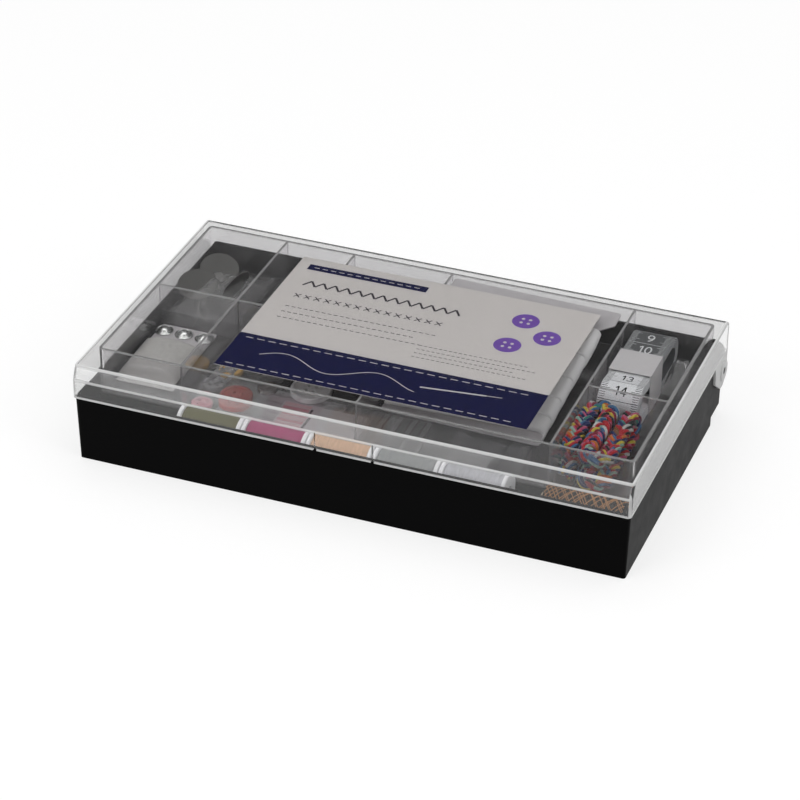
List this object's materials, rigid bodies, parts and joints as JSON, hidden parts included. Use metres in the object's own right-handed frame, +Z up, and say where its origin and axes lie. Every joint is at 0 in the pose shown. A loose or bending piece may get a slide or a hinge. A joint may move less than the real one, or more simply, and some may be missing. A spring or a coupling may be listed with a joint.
{
  "type": "sewing kit box",
  "caption": "Shallow sewing kit box: a clear lid hinged on a black base, over a clear compartment tray with thread spools, elastic, tape measure, buttons and cards.",
  "frame": {"origin": "centre of the box's underside, on the surface it stands on", "axes": "+X to the right as seen from the front, +Y to the rear where the hinges are, +Z up"},
  "size_m": [0.263, 0.15, 0.048],
  "materials": {
    "black_plastic": "satin, finely textured",
    "clear_lid": "clear polished polystyrene",
    "clear_tray": "clear polished polystyrene, slightly hazy",
    "spool_plastic": "white translucent plastic",
    "thread_olive": "wound polyester thread",
    "thread_magenta": "wound polyester thread",
    "thread_peach": "wound polyester thread",
    "thread_grey": "wound polyester thread",
    "thread_white": "wound polyester thread",
    "thread_bronze": "cross-wound bronze thread",
    "core_card": "plain cardboard tube",
    "white_card": "smooth white card",
    "elastic": "woven white elastic",
    "tape": "coated tape with printed graduations",
    "paper_band": "glossy white paper",
    "braid_thread": "many-coloured cotton thread",
    "snap_metal": "polished nickel",
    "sachet_paper": "white fibre paper",
    "threader_metal": "pressed bright sheet",
    "wire_steel": "fine bright wire",
    "button_white": "gloss",
    "button_red": "gloss",
    "button_yellow": "gloss",
    "button_brown": "gloss",
    "button_pink": "gloss",
    "button_grey": "gloss",
    "pink_card": "printed card",
    "grey_card": "printed card",
    "label": "satin printed card"
  },
  "bodies": {
    "case": {"base_box": "black_plastic", "base_partitions": "black_plastic", "hinge_pins": "black_plastic", "cradle_ribs": "black_plastic", "tray_floor": "clear_tray", "tray_walls": "clear_tray", "tray_dividers": "clear_tray", "spool_olive": "spool_plastic", "thread_olive": "thread_olive", "spool_magenta": "spool_plastic", "thread_magenta": "thread_magenta", "spool_peach": "spool_plastic", "thread_peach": "thread_peach", "spool_grey": "spool_plastic", "thread_grey": "thread_grey", "spool_white": "spool_plastic", "thread_white": "thread_white", "reel_core": "core_card", "reel_thread": "thread_bronze", "elastic_card": "white_card", "elastic_winding": "elastic", "tape_measure": "tape", "tape_band": "paper_band", "thread_braid": "braid_thread", "snap_card": "white_card", "snap_fasteners": "snap_metal", "desiccant_sachet": "sachet_paper", "threader_plates": "threader_metal", "threader_wires": "wire_steel", "button_white": "button_white", "button_red": "button_red", "button_yellow": "button_yellow", "button_brown": "button_brown", "button_pink": "button_pink", "button_grey": "button_grey", "needle_card": "pink_card", "hook_card": "white_card", "sample_card": "grey_card"},
    "cover": {"lid": "clear_lid", "label_card": "label"}
  },
  "joints": [
    {"name": "lid_hinge", "type": "hinge", "parent": "case", "child": "cover", "pos_m": [0, 0.07, 0.0236], "axis": [-1, 0, 0], "range_deg": [0, 120]}
  ]
}
